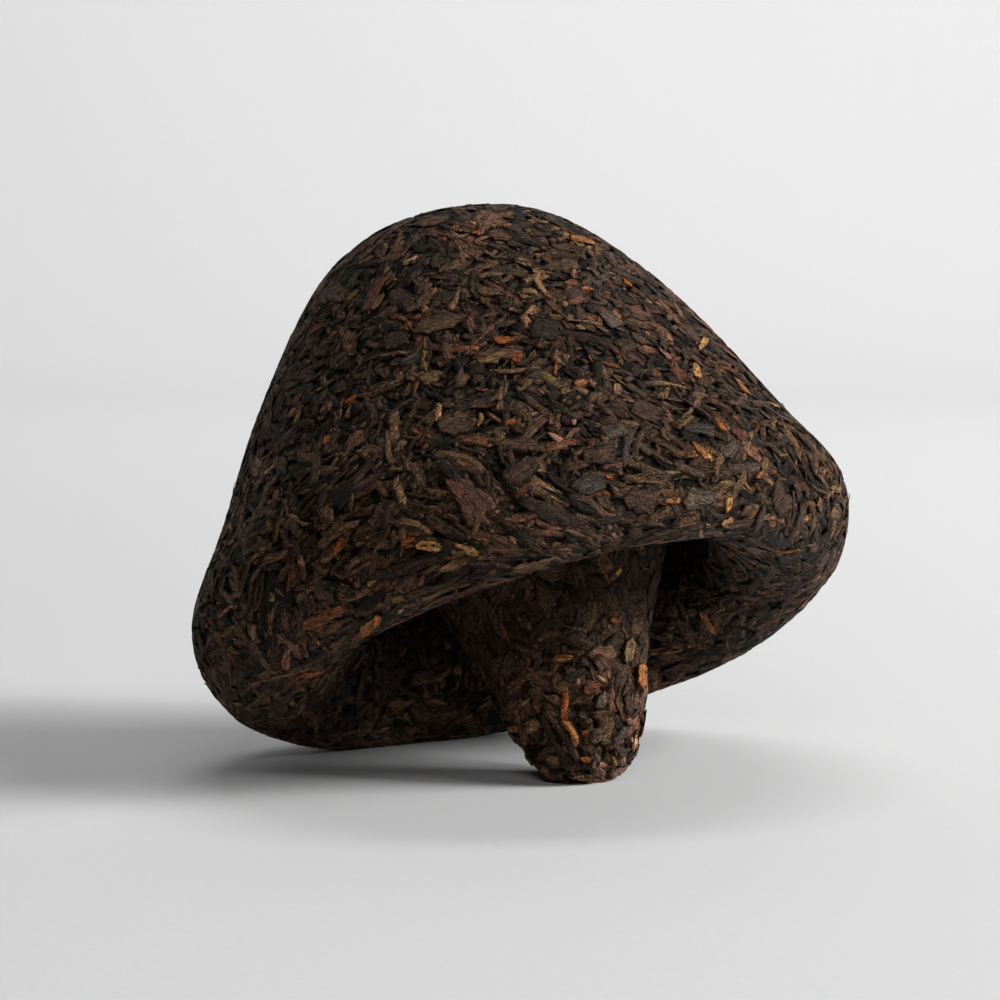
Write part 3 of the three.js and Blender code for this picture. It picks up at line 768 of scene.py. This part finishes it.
# x, y, length, width (pixels), direction (degrees, anticlockwise), tone
FLAT_ONES = [
    (455, 425, 34, 28, 20, "warm"), (468, 500, 64, 42, -50, "wine"), (555, 513, 76, 28, -19, "plum"), (565, 392, 10, 9, 40, "olive"), (590, 484, 30, 27, 30, "slate"),
    (409, 541, 15, 10, 10, "orange"), (429, 546, 27, 10, -8, "gold"), (468, 549, 27, 13, -28, "gold"), (487, 549, 18, 15, 40, "brown"), (530, 566, 42, 11, 12, "tan"),
    (368, 627, 32, 11, 48, "amber"), (325, 618, 52, 15, 20, "rust"), (342, 493, 26, 24, 0, "ink"), (402, 571, 80, 17, 17, "plum"), (428, 223, 30, 13, 5, "warm"),
    (500, 236, 25, 10, -10, "red"), (582, 240, 25, 9, -12, "amber"), (490, 292, 28, 16, -5, "warm"), (530, 293, 17, 9, -15, "olive"), (435, 325, 42, 24, 5, "warm"),
    (503, 341, 19, 9, 0, "orange"), (492, 358, 30, 13, 15, "olive"), (517, 359, 10, 9, 0, "orange"), (432, 377, 24, 13, 25, "tan"), (698, 372, 17, 10, -70, "gold"),
    (699, 430, 30, 26, 0, "slate"), (730, 450, 19, 15, 50, "grey"), (672, 500, 16, 9, 12, "amber"), (700, 500, 32, 30, 0, "grey"), (615, 432, 25, 15, 10, "grey"),
    (591, 687, 16, 15, 0, "rust"), (575, 675, 24, 14, 20, "slate"), (628, 650, 24, 15, 88, "beige"), (638, 676, 26, 9, 86, "amber"), (548, 752, 20, 16, 20, "brown"),
    (640, 500, 34, 26, -15, "brown"), (520, 470, 36, 26, 40, "brown"), (385, 515, 34, 24, 60, "brown"), (600, 455, 34, 22, 10, "plum"), (450, 470, 34, 24, -40, "dark"),
    (645, 410, 30, 20, -30, "brown"), (545, 330, 30, 20, -10, "dark"), (395, 340, 28, 20, 30, "brown"), (610, 320, 26, 18, -30, "grey"), (780, 500, 20, 30, 60, "brown"),
]
STRIPS = [
    (438, 413, 20, 7, 88, "gold"), (543, 472, 17, 7, -10, "olive"), (525, 488, 21, 12, 30, "rust"), (553, 445, 17, 9, 15, "rust"), (570, 442, 15, 8, 0, "rust"),
    (482, 407, 24, 8, 5, "red"), (510, 422, 12, 6, 20, "orange"), (581, 383, 15, 7, 10, "amber"), (575, 532, 23, 7, -20, "tan"), (486, 540, 7, 6, 0, "orange"),
    (339, 546, 20, 7, 65, "orange"), (352, 500, 23, 6, 88, "tan"), (327, 440, 11, 6, 60, "orange"), (310, 448, 11, 6, 60, "rust"), (372, 582, 11, 7, 15, "gold"),
    (350, 400, 12, 8, 30, "orange"), (353, 296, 17, 7, 50, "olive"), (378, 302, 19, 6, 60, "olive"), (319, 329, 17, 9, 20, "red"), (476, 233, 12, 6, -10, "orange"),
    (490, 275, 27, 8, 8, "beige"), (588, 290, 12, 7, 0, "orange"), (627, 283, 11, 6, -30, "orange"), (475, 349, 11, 6, 4, "amber"), (610, 365, 21, 8, -20, "rust"),
    (556, 367, 19, 5, 85, "orange"), (580, 328, 9, 6, 0, "beige"), (703, 344, 21, 8, 60, "gold"), (742, 387, 17, 7, -55, "amber"), (719, 424, 21, 8, -50, "orange"),
    (740, 435, 17, 10, -40, "red"), (700, 450, 24, 8, -48, "amber"), (706, 456, 9, 6, 0, "gold"), (728, 505, 17, 8, 75, "gold"), (727, 521, 14, 6, 25, "gold"),
    (760, 475, 11, 6, 40, "amber"), (783, 455, 10, 6, 0, "tan"), (609, 477, 8, 6, 0, "orange"), (787, 551, 28, 6, 3, "amber"), (765, 565, 11, 5, 0, "tan"),
    (790, 566, 9, 5, 0, "tan"), (287, 717, 24, 5, 5, "tan"), (238, 703, 6, 5, 0, "beige"), (585, 757, 10, 8, 0, "orange"), (562, 658, 21, 9, 5, "amber"),
    (612, 620, 7, 7, 0, "orange"), (517, 727, 9, 7, 0, "amber"), (708, 623, 27, 7, -55, "amber"), (600, 700, 18, 10, 70, "grey"), (618, 735, 20, 11, 50, "grey"),
    (625, 705, 16, 10, -60, "brown"), (595, 735, 16, 12, 80, "grey"), (640, 340, 22, 8, -25, "warm"), (455, 300, 24, 8, 70, "tan"), (760, 520, 26, 8, 75, "brown"),
]
ROLLS = [
    (460, 460, 54, 10, -22, "tan"), (478, 522, 42, 8, 59, "tan"), (317, 460, 54, 9, 80, "brown"), (389, 448, 36, 8, -76, "tan"), (373, 294, 42, 11, 62, "red"),
    (460, 350, 30, 8, 4, "rust"), (720, 461, 32, 8, 75, "tan"), (739, 485, 34, 9, 68, "tan"), (652, 482, 60, 10, -18, "warm"), (648, 469, 52, 10, -20, "warm"),
    (312, 675, 28, 7, 10, "orange"), (565, 706, 30, 9, 95, "orange"), (571, 732, 30, 9, -60, "amber"), (563, 735, 68, 8, -57, "plum"), (556, 739, 60, 7, -58, "dark"),
    (528, 488, 56, 11, -24, "plum"), (590, 505, 46, 9, -32, "brown"), (628, 445, 44, 9, 72, "slate"), (640, 440, 40, 9, 70, "brown"), (690, 470, 40, 9, -30, "brown"),
    (245, 640, 60, 8, -58, "brown"), (262, 660, 50, 7, -50, "warm"), (300, 560, 44, 8, -75, "brown"), (430, 590, 54, 9, 20, "brown"), (800, 520, 40, 8, 68, "brown"),
]


def lay_singular(name, seed, table, nl, nw, shape, level):
    rows = []
    for px, py, length, width, turn, tone in table:
        c, s = math.cos(math.radians(turn)), -math.sin(math.radians(turn))
        at = on_cake(px, py)
        a, b = on_cake(px - c * length / 2, py - s * length / 2), on_cake(px + c * length / 2, py + s * length / 2)
        d, e = on_cake(px + s * width / 2, py - c * width / 2), on_cake(px - s * width / 2, py + c * width / 2)
        if at is None or a is None or b is None:
            continue
        along = min(np.linalg.norm(b - a), length * 0.159 * 2.2)
        wide = width * 0.159 if d is None or e is None else min(np.linalg.norm(e - d), width * 0.159 * 2.0)
        rows.append((at, b - a, along, wide, TONES[tone]))
    p, nrm, _, _, tip, _ = settle(np.array([r[0] for r in rows]), full=True)
    lift = 0.75 * smoothstep(0.38, 0.62, tip)
    direction = unit(np.array([r[1] for r in rows]))
    rng = np.random.default_rng(seed)
    tone = np.array([r[4] for r in rows]) * 1.4 * np.exp(rng.normal(0, 0.08, (len(rows), 1)))
    lay_leaves(name, seed + 1, len(rows), nl, nw, None, None, shape, level, tints=tone, places=(p, nrm, direction, np.zeros(len(rows)), np.array([r[2] for r in rows]), np.array([r[3] for r in rows]), lift))


SINGLE = dict(lens=0.1, end=(-0.1, 0.8), ragged=0.09, slant=0.6, bend=0.05, arch=(0.0, 0.05), fold=(0.02, 0.08), crumple=0.035, roll=0.08, pitch=0.03, dive=(0.0, 0.15), curl=0.04, pressed=0.3)
lay_singular("single_leaves", 121, FLAT_ONES, 12, 7, SINGLE, (0.2, 0.26))
lay_singular("single_strips", 123, STRIPS, 7, 3, dict(SINGLE, fold=(0.0, 0.06), dive=(0.0, 0.1)), (0.16, 0.22))
lay_singular("single_rolls", 125, ROLLS, 11, 4, dict(SINGLE, lens=0.1, end=(0.5, 1.0), bend=0.12, arch=(0.1, 0.2), fold=(0.02, 0.06), dive=(0.0, 0.25), curl=0.07, pressed=0.24), (0.06, 0.12))

# ------------------------------------------------------------------ floor, backdrop and light
def paper():
    """Pale matt paper, painted lighter towards the back and where it rises behind, as painted light."""
    g = Graph("pale_paper")
    n = g.tree.nodes.new("ShaderNodeTexCoord")
    place = g.split(n.outputs["Object"])
    # Painted light: the paper is lighter towards the back and up the backdrop.
    value = g.math("ADD", g.ramp(place["Y"], 0.0, 1.2, 0.61, 0.77, smooth=True), g.ramp(place["Z"], 0.0, 0.5, 0.0, 0.02, smooth=True))
    grit = g.noise(n.outputs["Object"], 900.0, detail=2.0)
    value = g.math("MULTIPLY", value, g.ramp(grit, 0.3, 0.7, 0.985, 1.015))
    g.feed(g.shader.inputs["Base Color"], g.scale_colour((1.0, 1.0, 1.0), value))
    g.shader.inputs["Roughness"].default_value = 0.8
    g.shader.inputs["Specular IOR Level"].default_value = 0.2
    return g.material


def sweep():
    """A pale floor that curves up behind into a backdrop."""
    section = [(-3.0, 0.0)]
    back, radius = 1.1, 0.6
    section.append((back, 0.0))
    for k in range(1, 17):
        a = math.pi / 2 * k / 16
        section.append((back + radius * math.sin(a), radius * (1 - math.cos(a))))
    section.append((back + radius, 3.0))
    pts = []
    for sx in (-3.0, 3.0):
        pts += [(sx, y, z) for y, z in section]
    m = len(section)
    mesh = bpy.data.meshes.new("floor")
    mesh.from_pydata(pts, [], [(k, m + k, m + k + 1, k + 1) for k in range(m - 1)])
    for poly in mesh.polygons:
        poly.use_smooth = True
    mesh.materials.append(paper())
    o = bpy.data.objects.new("floor", mesh)
    bpy.context.scene.collection.objects.link(o)
    return o


sweep()


def area_light(name, place, target, size, power, colour=(1, 1, 1)):
    data = bpy.data.lights.new(name, "AREA")
    data.shape = "RECTANGLE"
    data.size, data.size_y = size
    data.energy = power
    data.color = colour
    o = bpy.data.objects.new(name, data)
    o.location = Vector(place)
    o.rotation_euler = (Vector(target) - Vector(place)).to_track_quat("-Z", "Y").to_euler()
    bpy.context.scene.collection.objects.link(o)
    return o


def from_angles(distance, up, front):
    """A place seen from the cake's foot: up above the table, front turned from the right towards the viewer, degrees."""
    e, a = math.radians(up), math.radians(front)
    return (distance * math.cos(a) * math.cos(e), -distance * math.sin(a) * math.cos(e), distance * math.sin(e) + 0.03)


# One long soft box leans over the cake's right side; it is drawn as three, which overlap.
area_light("key_low", from_angles(1.45, 16, -2), (0.0, 0.0, 0.03), (0.36, 0.36), 14.8)
area_light("key", from_angles(1.45, 26, 13), (0.0, 0.0, 0.03), (0.36, 0.36), 14.2)
area_light("key_high", from_angles(1.45, 39, 27), (0.0, 0.0, 0.03), (0.4, 0.4), 7.0)
area_light("front_fill", (0.1, -1.5, 0.9), (0.0, 0.0, 0.0), (0.9, 0.6), 5.8)
area_light("back_wash", (0.15, 0.5, 1.7), (-0.1, 1.7, 0.5), (1.2, 0.8), 16.6)

world = bpy.data.worlds.new("studio")
world.use_nodes = True
world.node_tree.nodes["Background"].inputs["Color"].default_value = (1.0, 1.0, 1.0, 1)
world.node_tree.nodes["Background"].inputs["Strength"].default_value = 0.026
bpy.context.scene.world = world
bpy.context.scene.view_settings.view_transform = "Standard"
bpy.context.scene.view_settings.look = "None"
bpy.context.scene.view_settings.exposure = 0.0

triangles = {o.name: sum(len(p.vertices) - 2 for p in o.data.polygons) for o in pieces + [core_object]}
print("triangles", triangles, sum(triangles.values()))
